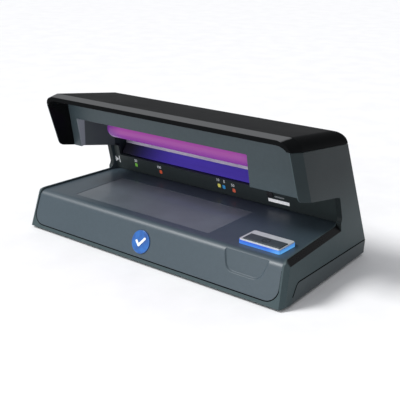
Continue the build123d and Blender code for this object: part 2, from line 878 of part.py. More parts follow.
frame_size = (button_size[0] - 2 * frame_inset, button_size[1] - 2 * frame_inset)
cap_opening = (cap_size[0] + 2 * cap_gap, cap_size[1] + 2 * cap_gap)
frame_top = button_rise + frame_height
with BuildPart() as button_frame:
    add(deck_block(button_centre, frame_size, button_rise, frame_top, button_corner - frame_inset))
    add(deck_block(cap_centre, cap_opening, button_rise - overrun, frame_top + overrun, cap_corner),
        mode=Mode.SUBTRACT)
finish(button_frame.part, "button_frame")

cap_top = frame_top + cap_proud
flange_top = button_rise - flange_gap
with BuildPart() as power_button:
    add(deck_block(cap_centre, cap_size, flange_top - cap_flange[2] / 2, cap_top, cap_corner))
    fillet(power_button.faces().sort_by(Axis.Z)[-1].edges(), cap_edge)
    add(deck_block(cap_centre, cap_flange[:2], flange_top - cap_flange[2], flange_top))
    add(deck_pin(cap_centre, cap_stem_radius, -plunger_top_drop, flange_top - cap_flange[2] / 2))
finish(power_button.part, "power_button")

icon_centre = (cap_centre[0] + icon_x, cap_centre[1])
with BuildPart() as button_icon:
    with BuildSketch(deck_plane.offset(cap_top)):
        with Locations(icon_centre):
            Circle(icon_radius)
            Circle(icon_radius - icon_ring, mode=Mode.SUBTRACT)
            Circle(icon_dot)
    extrude(amount=icon_height)
finish(button_icon.part, "button_icon")

control_board_plane = deck_plane.offset(-control_drop)
control_centre = (button_centre[0], button_centre[1] + control_board_y)
control_board = board_on(control_board_plane, control_centre, control_board_size, control_posts)
finish(control_board, "control_board")

switch_top = -control_drop + switch_height
with BuildPart() as push_switch:
    add(deck_block(cap_centre, (switch_size, switch_size), -control_drop, switch_top))
    add(deck_pin(cap_centre, switch_room_radius, -control_drop + switch_wall, switch_top - switch_wall),
        mode=Mode.SUBTRACT)
    add(deck_pin(cap_centre, plunger_radius + plunger_gap, switch_top - 2 * switch_wall, switch_top + 1.0),
        mode=Mode.SUBTRACT)
finish(push_switch.part, "push_switch")

with BuildPart() as switch_plunger:
    add(deck_pin(cap_centre, plunger_flange_radius, -plunger_flange_drop,
                 plunger_flange_height - plunger_flange_drop))
    add(deck_pin(cap_centre, plunger_radius, plunger_flange_height - plunger_flange_drop, -plunger_top_drop))
finish(switch_plunger.part, "switch_plunger")

spring_foot = -control_drop + switch_wall + spring_wire + spring_gap
spring_length = -plunger_flange_drop - spring_foot - spring_wire - spring_gap
with BuildPart() as switch_spring:
    with BuildLine() as coil:
        Helix(pitch=spring_length / spring_turns, height=spring_length, radius=spring_radius)
    with BuildSketch(Plane(origin=coil.line @ 0, z_dir=coil.line % 0)):
        Circle(spring_wire)
    sweep()
switch_spring_placed = deck_plane.offset(spring_foot).location * Pos(*cap_centre, 0) * switch_spring.part
finish(switch_spring_placed, "switch_spring")


# ---- Lamp, its cap and its socket ----------------------------------------------------------

lamp_slope = (cos(radians(lamp_fall)), sin(radians(lamp_fall)))
lamp_back = (lamp_front[0] + lamp_pitch * lamp_slope[0], lamp_front[1] + lamp_pitch * lamp_slope[1])
lamp_middle = ((lamp_front[0] + lamp_back[0]) / 2, (lamp_front[1] + lamp_back[1]) / 2)
# Looking along +X, with the local x axis from the front tube to the back tube
lamp_plane = Plane(origin=(0, *lamp_middle), x_dir=(0, *lamp_slope), z_dir=(1, 0, 0))
tube_places = [(-lamp_pitch / 2, 0), (lamp_pitch / 2, 0)]


def along_lamp(sketch, start, end):
    # A section in the lamp's own plane, run from one x to another
    with BuildPart() as run:
        with BuildSketch(lamp_plane.offset(start)):
            add(sketch)
        extrude(amount=end - start)
    return run.part


def round_pair(radius, places):
    with BuildSketch() as pair:
        with Locations(*places):
            Circle(radius)
    return pair.sketch


def box_section(size):
    with BuildSketch() as section:
        RectangleRounded(*size, block_corner)
    return section.sketch


tube_start_x = lamp_tip_x + lamp_radius
tube_ends = [lamp_plane.offset(tube_start_x).from_local_coords(Vector(x, y, 0)) for x, y in tube_places]
with BuildPart() as uv_lamp:
    add(along_lamp(round_pair(lamp_radius, tube_places), tube_start_x, lamp_glass_end_x))
    with Locations(*tube_ends):
        Sphere(lamp_radius)
    bridge_plane = Plane(origin=lamp_plane.offset(bridge_x).origin, z_dir=lamp_plane.x_dir)
    with BuildSketch(bridge_plane.offset(-lamp_pitch / 2)):
        Circle(bridge_radius)
    extrude(amount=lamp_pitch)
finish(uv_lamp.part, "uv_lamp")

pin_places = [(-pin_spacing / 2, 0), (pin_spacing / 2, 0)]
with BuildPart() as lamp_base:
    add(along_lamp(box_section(base_size), base_start_x, base_end_x))
    add(along_lamp(box_section(post_size), base_end_x, post_end_x))
    add(along_lamp(round_pair(lamp_radius + tube_gap, tube_places), base_start_x - 1, lamp_glass_end_x),
        mode=Mode.SUBTRACT)
finish(lamp_base.part, "lamp_base")

lamp_pins = along_lamp(round_pair(pin_radius, pin_places), base_end_x, pin_end_x)
finish(lamp_pins, "lamp_pins")

compartment_floor = beside(chamber_back, bezel_low, chamber_wall)
socket_low_z = lamp_middle[1] - socket_size[1] / 2 + socket_foot_lap
foot_front, foot_back = [towards(*compartment_floor, distance) for distance in socket_foot_span]
socket_foot = outline((*foot_front, 0), (*foot_back, 0), (foot_back[0], socket_low_z, 0),
                      (foot_front[0], socket_low_z, 0))
with BuildPart() as lamp_socket:
    add(along_lamp(box_section(socket_size), socket_start_x, socket_end_x))
    add(from_x(socket_foot, socket_start_x + socket_foot_inset, socket_end_x - socket_foot_inset))
    add(along_lamp(box_section([side + 2 * socket_gap for side in post_size]), socket_start_x - 1,
                   post_end_x + socket_end_gap), mode=Mode.SUBTRACT)
    add(along_lamp(round_pair(pin_radius + tube_gap, pin_places), socket_start_x - 1,
                   pin_end_x + socket_end_gap),
        mode=Mode.SUBTRACT)
finish(lamp_socket.part, "lamp_socket")


# ---- Bezel plate, with the lamp chamber's end walls and the socket's compartment ------------

plate_height = hypot(*bezel_run)
half_bezel_low = half_at(*bezel_low, bezel_inset)
half_bezel_high = half_at(*bezel_high, bezel_inset)
plate_back = beside(bezel_low, bezel_high, bezel_thickness)
chamber_end = outline((*plate_back[0], 0), (*towards(*plate_back, chamber_front_rise), 0),
                      *[(*corner, 0) for corner in chamber_profile], (*chamber_back, 0))
floor_under = beside(chamber_back, bezel_low, chamber_wall)
floor_section = outline((*plate_back[0], 0), (*chamber_back, 0), (*floor_under[0], 0), (*floor_under[1], 0))
window_top = towards(bezel_low, bezel_high, window_high)
return_end = window_top[0] + return_depth
return_section = outline((*window_top, 0), (return_end, window_top[1] - return_fall, 0),
                         (return_end, window_top[1] + return_heights[0], 0),
                         (window_top[0], window_top[1] + return_heights[1], 0))
with BuildPart() as compartment_floors:
    add(between_sides(floor_section, bezel_inset))
    with Locations(((window_left_x + window_right_x) / 2, 0, bezel_low[1])):
        Box(window_right_x - window_left_x, reach, reach, mode=Mode.SUBTRACT)

with BuildPart() as lamp_bezel:
    with BuildSketch(bezel_plane.offset(-bezel_thickness)):
        with BuildLine():
            FilletPolyline((-half_bezel_low, 0), (-half_bezel_high, plate_height),
                           (half_bezel_high, plate_height),
                           (half_bezel_low, 0), (window_right_x, 0), (window_right_x, window_high),
                           (window_left_x, window_high), (window_left_x, 0),
                           radius=[0, bezel_corner_radius, bezel_corner_radius, 0, 0,
                                   window_corner, window_corner, 0],
                           close=True)
        make_face()
    extrude(amount=bezel_thickness)
    add(from_x(chamber_end, window_left_x - chamber_wall, window_left_x))
    add(from_x(chamber_end, window_right_x, window_right_x + chamber_wall))
    add(compartment_floors.part)
    add(from_x(return_section, window_left_x, window_right_x))
    add(along_lamp(round_pair(lamp_opening_radius, tube_places), window_right_x - 1,
                   window_right_x + bezel_lap),
        mode=Mode.SUBTRACT)
finish(lamp_bezel.part, "lamp_bezel")


# ---- Reflector and column front ---------------------------------------------------------------

reflector = from_x(strip_outline(reflector_points, reflector_radius, reflector_thickness),
                   reflector_start_x, reflector_end_x)
finish(reflector, "reflector")

strip_front = (strip_low, strip_top)
strip_back = beside(*strip_front, strip_thickness)
strip_section = outline((*strip_front[0], 0), (*strip_front[1], 0), (*strip_back[1], 0), (*strip_back[0], 0))
strip_height = hypot(*strip_run)
with BuildPart() as guide_strip:
    add(between_sides(strip_section, side_wall + gap))
    with BuildSketch(strip_plane.offset(overrun)):
        with Locations(((cove_left_x + cove_right_x) / 2, strip_height)):
            Rectangle(cove_right_x - cove_left_x + 2 * gap, reach / 4, align=(Align.CENTER, Align.MIN))
    extrude(amount=-2 * overrun, mode=Mode.SUBTRACT)
    with BuildSketch(strip_plane):
        with Locations(lens_centre):
            Circle(lens_radius + gap / 5)
    extrude(amount=-lens_recess, mode=Mode.SUBTRACT)
finish(guide_strip.part, "guide_strip")

cove_back = beside(*cove_points, cove_thickness)
cove_section = outline((*cove_points[0], 0), (*cove_points[1], 0), (*cove_back[1], 0), (*cove_back[0], 0))
cove_plate = from_x(cove_section, cove_left_x, cove_right_x)
finish(cove_plate, "cove_plate")

with BuildPart() as strip_label:
    with BuildSketch(strip_plane):
        with Locations(label_centre):
            Rectangle(*label_size)
    extrude(amount=label_thickness)
finish(strip_label.part, "strip_label")

with BuildPart() as sensor_lens:
    with BuildSketch(strip_plane.offset(-lens_recess)):
        with Locations(lens_centre):
            Circle(lens_radius)
    extrude(amount=lens_recess + lens_proud)
finish(sensor_lens.part, "sensor_lens")


# ---- Ballast board and its components --------------------------------------------------------

ballast_top = ballast_z + board_thickness
ballast_plane = Plane.XY.offset(ballast_top)
ballast_board = board_on(ballast_plane, (ballast_x, ballast_y), ballast_size, post_places)
finish(ballast_board, "ballast_board")

with BuildPart() as ballast_choke:
    with Locations((*choke_place, ballast_top)):
        Box(*choke_core, align=up_from)
    with Locations((choke_place[0], choke_place[1], ballast_top + choke_core[2] / 2)):
        Cylinder(choke_winding_radius, choke_winding_length, rotation=(90, 0, 0))
    split(bisect_by=ballast_plane, keep=Keep.TOP)
finish(ballast_choke.part, "ballast_choke")

with BuildPart() as filter_capacitor:
    with Locations((*capacitor_place, ballast_top)):
        Cylinder(capacitor_radius, capacitor_height, align=up_from)
    fillet(filter_capacitor.edges().filter_by(GeomType.CIRCLE), capacitor_edge)
finish(filter_capacitor.part, "filter_capacitor")

with BuildPart() as ballast_transistors:
    with Locations((*transistor_place, ballast_top)):
        with GridLocations(transistor_pitch, 0, 2, 1):
            Box(*transistor_size, align=up_from)
finish(ballast_transistors.part, "ballast_transistors")

with BuildPart() as fuse:
    with Locations((*fuse_place, ballast_top + fuse_radius + fuse_lift)):
        Cylinder(fuse_radius, fuse_length, rotation=(0, 90, 0))
        with GridLocations(fuse_clip_pitch, 0, 2, 1):
            Box(*fuse_clip)
finish(fuse.part, "fuse")

small_screw = pan_screw(small_screw_radius, small_head_radius, small_head_height, small_screw_length,
                        small_screw_recess)
turned_over = Rot(180, 0, 0) * small_screw
light_underside = deck_plane.offset(-light_board_drop - board_thickness).location
control_underside = deck_plane.offset(-control_drop - board_thickness).location
board_screws = Compound([light_underside * Pos(x, y, 0) * small_screw for x, y in board_posts]
                        + [control_underside * Pos(x, y, 0) * small_screw for x, y in control_posts]
                        + [Pos(x, y, ballast_top) * turned_over for x, y in post_places])
finish(board_screws, "board_screws")


# ---- Power inlet in the back wall, and the leads -----------------------------------------------

inlet_place = (-inlet_x, inlet_height)
with BuildPart() as dc_inlet:
    with BuildSketch(back_plane):
        with Locations(inlet_place):
            Circle(inlet_flange_radius)
    extrude(amount=inlet_flange)
    with BuildSketch(back_plane):
        with Locations(inlet_place):
            Circle(inlet_radius)
    extrude(amount=-inlet_depth)
    with BuildSketch(back_plane.offset(inlet_flange)):
        with Locations(inlet_place):
            Circle(inlet_bore_radius)
    extrude(amount=-inlet_bore_depth, mode=Mode.SUBTRACT)
finish(dc_inlet.part, "dc_inlet")

with BuildPart() as dc_inlet_pin:
    with BuildSketch(back_plane.offset(inlet_flange - inlet_bore_depth)):
        with Locations(inlet_place):
            Circle(inlet_pin_radius)
    extrude(amount=inlet_bore_depth - inlet_pin_short)
finish(dc_inlet_pin.part, "dc_inlet_pin")


def lead(points, radius):
    # One insulated lead along a route with rounded turns
    with BuildPart() as wire:
        with BuildLine() as route:
            FilletPolyline(points, radius=radius)
        with BuildSketch(Plane(origin=route.line @ 0, z_dir=route.line % 0)):
            Circle(lead_radius)
        sweep()
    return wire.part


lead_lift = ballast_top + lead_radius + lead_gap
socket_x = (socket_start_x + socket_end_x) / 2
lamp_leads = []
for shift in (0, lead_pitch):
    entry, approach = [lamp_plane.offset(socket_x + shift).from_local_coords(Vector(away, 0, 0))
                       for away in (socket_size[0] / 2, socket_size[0] / 2 + lead_approach)]
    start = (lamp_lead_start[0], lamp_lead_start[1] + shift, lead_lift)
    corner = (lamp_lead_corner[0] + shift, lamp_lead_corner[1] + shift, lead_lift)
    rise = (lamp_lead_rise[0] + shift, lamp_lead_rise[1] + shift, lamp_lead_rise[2])
    high = (socket_x + shift, lamp_lead_high[0] + shift, lamp_lead_high[1])
    lamp_leads.append(lead([start, corner, rise, high, approach, entry], lead_turn))
lamp_wires = Compound(lamp_leads)
finish(lamp_wires, "lamp_wires")

supply_leads = []
for shift in (0, lead_pitch):
    exit_point, turn_point = [back_plane.from_local_coords(Vector(inlet_place[0] - shift,
                                                                  inlet_place[1], depth))
                              for depth in (-inlet_depth, -inlet_depth - lead_approach)]
    end = (supply_lead_end[0] + shift, supply_lead_end[1], lead_lift)
    supply_leads.append(lead([exit_point, turn_point, end], lead_turn))
supply_wires = Compound(supply_leads)
finish(supply_wires, "supply_wires")
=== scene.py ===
import math
import bmesh
import bpy
from mathutils import Matrix, Vector


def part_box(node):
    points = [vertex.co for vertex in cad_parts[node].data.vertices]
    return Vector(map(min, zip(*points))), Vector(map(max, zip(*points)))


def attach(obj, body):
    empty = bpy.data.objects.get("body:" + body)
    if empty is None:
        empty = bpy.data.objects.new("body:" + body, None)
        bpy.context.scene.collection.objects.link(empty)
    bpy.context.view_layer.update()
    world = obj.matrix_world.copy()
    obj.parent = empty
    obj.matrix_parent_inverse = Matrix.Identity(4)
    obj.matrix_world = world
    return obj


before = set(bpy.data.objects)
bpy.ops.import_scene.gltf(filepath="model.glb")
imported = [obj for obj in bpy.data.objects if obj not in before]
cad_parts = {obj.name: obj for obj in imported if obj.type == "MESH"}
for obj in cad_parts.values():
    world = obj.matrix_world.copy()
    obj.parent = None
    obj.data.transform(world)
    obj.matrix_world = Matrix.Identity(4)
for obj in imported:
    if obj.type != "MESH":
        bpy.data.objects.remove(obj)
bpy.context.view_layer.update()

mm = 0.001
print("frame loaded:", len(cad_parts), "nodes")


class Value:
    # one output socket, so that sums between sockets read like ordinary sums
    def __init__(self, finish, socket):
        self.finish = finish
        self.socket = socket

    def sum(self, operation, first, second):
        return self.finish.node("Math", {"operation": operation}, {0: first, 1: second})

    def __add__(self, other):
        return self.sum("ADD", self, other)

    def __radd__(self, other):
        return self.sum("ADD", other, self)

    def __sub__(self, other):
        return self.sum("SUBTRACT", self, other)

    def __rsub__(self, other):
        return self.sum("SUBTRACT", other, self)

    def __mul__(self, other):
        return self.sum("MULTIPLY", self, other)

    def __rmul__(self, other):
        return self.sum("MULTIPLY", other, self)

    def __truediv__(self, other):
        return self.sum("DIVIDE", self, other)

    def __rtruediv__(self, other):
        return self.sum("DIVIDE", other, self)

    def __pow__(self, other):
        return self.sum("POWER", self, other)

    def __rpow__(self, other):
        return self.sum("POWER", other, self)


class Finish:
    # one material and its node tree
    def __init__(self, name, **fixed):
        self.material = bpy.data.materials.new(name)
        self.material.use_nodes = True
        self.tree = self.material.node_tree
        self.shader = self.tree.nodes["Principled BSDF"]
        for key, value in fixed.items():
            self.shader.inputs[key].default_value = value

    def node(self, kind, settings=None, sockets=None, output=0):
        made = self.tree.nodes.new("ShaderNode" + kind)
        for key, value in (settings or {}).items():
            if key == "stops":
                ramp = made.color_ramp
                while len(ramp.elements) < len(value):
                    ramp.elements.new(0.5)
                for element, (place, colour) in zip(ramp.elements, value):
                    element.position = place
                    element.color = colour
            else:
                setattr(made, key, value)
        for key, value in (sockets or {}).items():
            self.join(value, made.inputs[key])
        return Value(self, made.outputs[output])

    def join(self, value, socket):
        if isinstance(value, Value):
            self.tree.links.new(value.socket, socket)
        else:
            socket.default_value = value

    def give(self, name, value):
        self.join(value, self.shader.inputs[name])

    def place(self):
        return self.node("TexCoord", output="Object")

    def axes(self, vector):
        parts = self.node("SeparateXYZ", sockets={0: vector})
        return [Value(self, socket) for socket in parts.socket.node.outputs]

    def noise(self, vector, scale, detail=3.0, rough=0.55, warp=0.0):
        return self.node("TexNoise", {}, {"Vector": vector, "Scale": scale, "Detail": detail,
                                          "Roughness": rough, "Distortion": warp})

    def ramp(self, value, low, high, start=0.0, end=1.0):
        # smooth step from start to end while the value goes from low to high
        return self.node("MapRange", {"interpolation_type": "SMOOTHSTEP"},
                         {0: value, 1: low, 2: high, 3: start, 4: end})

    def mix(self, share, first, second):
        return self.node("Mix", {"data_type": "RGBA"}, {0: share, 6: first, 7: second}, 2)

    def edges(self, radius):
        # how strongly the surface turns nearby, and the softened normal that shows it
        soft = self.node("Bevel", {"samples": 4}, {"Radius": radius})
        true = self.node("NewGeometry", {}, {}, "Normal")
        same = self.node("VectorMath", {"operation": "DOT_PRODUCT"}, {0: soft, 1: true}, "Value")
        return self.ramp(1 - same, 0.01, 0.16), soft

    def bump(self, height, strength, distance, normal=None):
        sockets = {"Height": height, "Strength": strength, "Distance": distance}
        if normal is not None:
            sockets["Normal"] = normal
        self.give("Normal", self.node("Bump", {}, sockets))


def colour(red, green, blue):
    # screen colour, 0 to 255, as linear light
    def linear(channel):
        share = channel / 255
        return share / 12.92 if share <= 0.04045 else ((share + 0.055) / 1.055) ** 2.4
    return (linear(red), linear(green), linear(blue), 1.0)


def dress(material, *names):
    for name in names:
        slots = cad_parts[name].material_slots
        for slot in slots:
            slot.material = material


# moulded plastic shared by the housing, the deck, the tray and the lamp plate
mouldedLook = {
    "grainScale": 2600.0,
    "grainHeight": 0.05 * mm,
    "mottleScale": 420.0,
    "smearScale": 22.0,
    "edgeRadius": 0.45 * mm,
}


def moulded(name, main, worn, roughness, index=1.34, look=mouldedLook, grain=0.22):
    # returns the finish with its colour and roughness, so that a piece can add its own areas
    finish = Finish(name, IOR=index)
    at = finish.place()
    fine = finish.noise(at, look["grainScale"], 2.0, 0.6)
    mottle = finish.noise(at, look["mottleScale"], 5.0, 0.6)
    smear = finish.noise(at, look["smearScale"], 6.0, 0.65, 0.8)
    edge, soft = finish.edges(look["edgeRadius"])
    lighter = tuple(min(1.0, channel * 1.07) for channel in main[:3]) + (1.0,)
    darker = tuple(channel * 0.93 for channel in main[:3]) + (1.0,)
    base = finish.mix(finish.ramp(mottle, 0.3, 0.7) * 0.5 + finish.ramp(fine, 0.3, 0.7) * 0.5, darker, lighter)
    base = finish.mix(edge * finish.ramp(smear, 0.42, 0.62, 0.10, 0.60), base, worn)
    rough = roughness + (smear - 0.5) * 0.12 + (fine - 0.5) * 0.06
    finish.bump(fine + mottle * 0.25, grain, look["grainHeight"], soft)
    return finish, base, rough


housingLook = {
    "slate": colour(64, 77, 80),
    # painted shade for the upper cheeks
    "high": colour(24, 35, 38),
    "worn": colour(92, 101, 105),
    # painted shade for the inner cheeks and the rim bevel
    "black": colour(13, 14, 15),
    "columnShade": colour(38, 44, 45),
    "roughness": 0.42,
    "plateY": -16.5 * mm,      # the hood's inner cheeks lie in front of this
    "hoodZ": 49.0 * mm,
}


def housingFinish():
    look = housingLook
    finish, base, rough = moulded("slateHousing", look["slate"], look["worn"], look["roughness"], 1.22)
    x, y, z = finish.axes(finish.place())
    nx, ny, nz = finish.axes(finish.node("NewGeometry", {}, {}, "Normal"))
    side = finish.node("Math", {"operation": "SIGN"}, {0: x})
    # painted shade: the cheeks' outer faces are darkened towards the top, standing in for the shading up the sides
    base = finish.mix(finish.ramp(nx * side, 0.94, 0.98) * finish.ramp(z, 12 * mm, 66 * mm), base, look["high"])
    # painted shade: the cheeks' inner faces in front of the lamp plate are painted black, standing in for the dark
    # reflection on this plastic
    innerShade = finish.ramp(nx * side, -0.5, -0.8) * finish.ramp(y, look["plateY"] + mm, look["plateY"])
    innerShade = innerShade * finish.ramp(z, look["hoodZ"], look["hoodZ"] + mm)
    # painted shade: the bevel along the deck's rims is painted black too, standing in for the dark it reflects
    bevel = finish.ramp(nx * side * 0.816 + nz * 0.577, 0.965, 0.985) * finish.ramp(z, 34 * mm, 33 * mm)
    bevel = bevel * finish.ramp(y, -43.5 * mm, -40.5 * mm)
    paintedShade = finish.node("Math", {"operation": "MAXIMUM"}, {0: innerShade, 1: bevel})
    # painted shade: the cheeks' end faces beside the guide strip are darkened to the strip's tone, standing in for
    # the shade on these faces
    column = finish.ramp(ny, -0.5, -0.9) * finish.ramp(y, 12 * mm, 14 * mm)
    base = finish.mix(column, base, look["columnShade"])
    finish.give("Base Color", finish.mix(paintedShade, base, look["black"]))
    finish.give("Roughness", rough - paintedShade * 0.14)
    return finish.material


trayLook = {"slate": colour(66, 75, 78), "worn": colour(100, 110, 114), "roughness": 0.46}
deckLook = {"slate": colour(58, 71, 79), "worn": colour(108, 120, 126), "roughness": 0.38}
plateLook = {
    "slate": colour(62, 74, 79),
    # painted highlight for the window's side return
    "return": colour(188, 197, 201),
    # painted light for the chamber walls behind the plate
    "chamber": colour(96, 106, 104),
    "worn": colour(104, 118, 124),
    "roughness": 0.38,
}


def trayFinish():
    finish, base, rough = moulded("slateTray", trayLook["slate"], trayLook["worn"], trayLook["roughness"])
    finish.give("Base Color", base)
    finish.give("Roughness", rough)
    return finish.material


def deckFinish():
    finish, base, rough = moulded("slateDeck", deckLook["slate"], deckLook["worn"], deckLook["roughness"], 1.48)
    # notes slid over the deck leave faint lines across it
    at = finish.place()
    stretched = finish.node("Mapping", {}, {"Vector": at, "Scale": (12.0, 420.0, 12.0)})
    lines = finish.ramp(finish.noise(stretched, 4.0, 4.0, 0.7), 0.60, 0.70)
    _, _, nz = finish.axes(finish.node("NewGeometry", {}, {}, "Normal"))
    lines = lines * finish.ramp(nz, 0.95, 0.99) * 0.10
    finish.give("Base Color", finish.mix(lines, base, deckLook["worn"]))
    finish.give("Roughness", rough + lines)
    return finish.material


def plateFinish():
    look = plateLook
    finish, base, rough = moulded("slatePlate", look["slate"], look["worn"], look["roughness"])
    _, y, _ = finish.axes(finish.place())
    nx, _, _ = finish.axes(finish.node("NewGeometry", {}, {}, "Normal"))
    # painted light: the chamber walls behind the plate get a much lighter colour, standing in for the lamp light
    # on them
    behind = finish.ramp(y, -13.2 * mm, -12.2 * mm)
    # painted highlight: the window's side return facing +x is painted pale
    edge = finish.ramp(nx, 0.6, 0.9) * finish.ramp(y, -12.2 * mm, -13.2 * mm)
    base = finish.mix(behind, base, look["chamber"])
    finish.give("Base Color", finish.mix(edge * 0.8, base, look["return"]))
    finish.give("Roughness", rough + behind * 0.15)
    return finish.material


coverLook = {
    "black": colour(19, 20, 21),
    "worn": colour(40, 42, 43),
    # painted highlight on the front chamfer
    "band": colour(90, 91, 92),
    "bandBack": -30.7 * mm,
    "roughness": 0.34,
}


def coverFinish():
    look = coverLook
    finish, base, rough = moulded("blackCover", look["black"], look["worn"], look["roughness"], 1.03, grain=0.06)
    _, y, _ = finish.axes(finish.place())
    _, ny, nz = finish.axes(finish.node("NewGeometry", {}, {}, "Normal"))
    # painted highlight: a pale band along the front chamfer of the top, standing in for the light it reflects
    band = finish.ramp(y, look["bandBack"] + 0.25 * mm, look["bandBack"] - 0.05 * mm) * finish.ramp(nz, 0.9, 0.97)
    band = band * finish.ramp(ny, -0.02, -0.07)
    dust = finish.ramp(finish.noise(finish.place(), 1500.0, 2.0, 0.5), 0.70, 0.78) * finish.ramp(nz, 0.6, 0.95)
    base = finish.mix(dust * 0.10, base, colour(150, 150, 150))
    finish.give("Base Color", finish.mix(band, base, look["band"]))
    finish.give("Roughness", rough + band * 0.14 + dust * 0.2)
    return finish.material


def smoothMoulded(name, shade, roughness, index=1.45):
    finish, base, rough = moulded(name, shade, shade, roughness, index, grain=0.05)
    finish.give("Base Color", base)
    finish.give("Roughness", rough)
    return finish.material


def plainMoulded(name, shade, worn, roughness, index=1.34):
    finish, base, rough = moulded(name, shade, worn, roughness, index)
    finish.give("Base Color", base)
    finish.give("Roughness", rough)
    return finish.material


print("shared finishes ready")

guideLook = {"shade": colour(46, 54, 55), "worn": colour(70, 80, 82), "roughness": 0.48}
# painted light: the cove plate's violet glow and its dark left end stand in for the UV lamp's light falling on it
coveLook = {
    "shade": colour(48, 42, 96),
    "paintedShade": colour(30, 30, 38),
    "glow": colour(58, 44, 150),
    "glowStart": -82 * mm,
    "glowFull": -35 * mm,
    "strength": 0.75,
}


def coveFinish():
    look = coveLook
    finish, base, rough = moulded("coveSlope", look["shade"], look["shade"], 0.42)
    x, _, _ = finish.axes(finish.place())
    # painted light: glow and colour rise along x, and the plate emits light though it is no lamp
    lit = finish.ramp(x, look["glowStart"], look["glowFull"])
    streak = finish.noise(finish.node("Mapping", {}, {"Vector": finish.place(), "Scale": (6.0, 80.0, 80.0)}), 4.0)
    finish.give("Base Color", finish.mix(lit, look["paintedShade"], base))
    finish.give("Roughness", rough)
    finish.give("Emission Color", finish.mix(lit * finish.ramp(streak, 0.2, 0.7, 0.8, 1.0),
                                             (0.002, 0.002, 0.004, 1.0), look["glow"]))
    finish.shader.inputs["Emission Strength"].default_value = look["strength"]
    return finish.material


lampLook = {
    "core": colour(160, 70, 154),
    "rim": colour(98, 46, 158),
    "end": colour(74, 34, 120),
    "strength": 0.83,
    "left": -70 * mm,
    "right": 56 * mm,
}


def lampFinish():
    look = lampLook
    finish = Finish("lampGlass", **{"Coat Weight": 0.15, "Coat Roughness": 0.1, "Specular IOR Level": 0.2})
    at = finish.place()
    x, _, _ = finish.axes(at)
    _, _, nz = finish.axes(finish.node("NewGeometry", {}, {}, "Normal"))
    cloud = finish.noise(finish.node("Mapping", {}, {"Vector": at, "Scale": (1.0, 3.0, 3.0)}), 60.0, 4.0)
    tip = finish.ramp(x, look["left"] + 16 * mm, look["left"] + 2 * mm)
    root = finish.ramp(x, look["right"] - 14 * mm, look["right"] + 2 * mm)
    lower = finish.ramp(nz, 0.1, -0.9)
    glow = finish.mix(lower * 0.45 + finish.ramp(cloud, 0.3, 0.7) * 0.12, look["core"], look["rim"])
    glow = finish.mix(tip * 0.75 + root * 0.6, glow, look["end"])
    finish.give("Base Color", finish.mix(finish.ramp(cloud, 0.3, 0.7), colour(52, 26, 60), colour(64, 34, 72)))
    finish.give("Roughness", 0.22 + cloud * 0.08)
    finish.give("Emission Color", glow)
    finish.shader.inputs["Emission Strength"].default_value = look["strength"]
    finish.bump(cloud, 0.05, 0.1 * mm)
    return finish.material


reflectorLook = {"metal": colour(176, 170, 186), "dull": colour(150, 144, 166), "roughness": 0.42}


def reflectorFinish():
    look = reflectorLook
    finish = Finish("rolledSheet")
    at = finish.place()
    rolled = finish.noise(finish.node("Mapping", {}, {"Vector": at, "Scale": (1.0, 30.0, 30.0)}), 12.0, 4.0, 0.6)
    cloud = finish.noise(at, 40.0, 4.0)
    finish.give("Base Color", finish.mix(finish.ramp(cloud, 0.3, 0.7), look["metal"], look["dull"]))
    finish.give("Metallic", 0.75 + cloud * 0.1)
    finish.give("Roughness", look["roughness"] + (rolled - 0.5) * 0.2)
    finish.bump(rolled, 0.12, 0.05 * mm)
    return finish.material


ringLook = {
    "deep": colour(8, 64, 186),
    # painted highlight colour for the ring's right end and foot
    "bright": colour(104, 184, 244),
    "strength": 0.85,
    "right": 90.4 * mm,
}


def ringFinish():
    look = ringLook
    finish = Finish("litRing", **{"Coat Weight": 0.4, "Coat Roughness": 0.12})
    at = finish.place()
    x, _, z = finish.axes(at)
    frost = finish.noise(at, 900.0, 3.0)
    # painted highlight: the ring's emission turns pale towards its right end and its foot
    end = finish.ramp(x, look["right"] - 9 * mm, look["right"] - 0.5 * mm)
    foot = finish.ramp(z, 27.6 * mm, 25.9 * mm)
    finish.give("Base Color", finish.mix(finish.ramp(frost, 0.3, 0.7), colour(24, 60, 130), colour(34, 76, 150)))
    finish.give("Roughness", 0.32 + frost * 0.12)
    finish.give("Emission Color", finish.mix(end * 0.55 + foot * 0.35, look["deep"], look["bright"]))
    finish.shader.inputs["Emission Strength"].default_value = look["strength"]
    finish.bump(frost, 0.15, 0.03 * mm)
    return finish.material


def brushedMetal(name, shade, dull, roughness, stretch=(4.0, 160.0, 160.0), metallic=0.95):
    finish = Finish(name)
    at = finish.place()
    lines = finish.noise(finish.node("Mapping", {}, {"Vector": at, "Scale": stretch}), 14.0, 5.0, 0.65)
    cloud = finish.noise(at, 220.0, 3.0)
    edge, soft = finish.edges(0.2 * mm)
    base = finish.mix(finish.ramp(cloud, 0.3, 0.7), shade, dull)
    finish.give("Base Color", finish.mix(edge * 0.5, base, tuple(min(1.0, c * 1.3) for c in shade[:3]) + (1.0,)))
    finish.give("Metallic", metallic - cloud * 0.06)
    finish.give("Roughness", roughness + (lines - 0.5) * 0.22)
    finish.bump(lines, 0.10, 0.03 * mm, soft)
    return finish.material


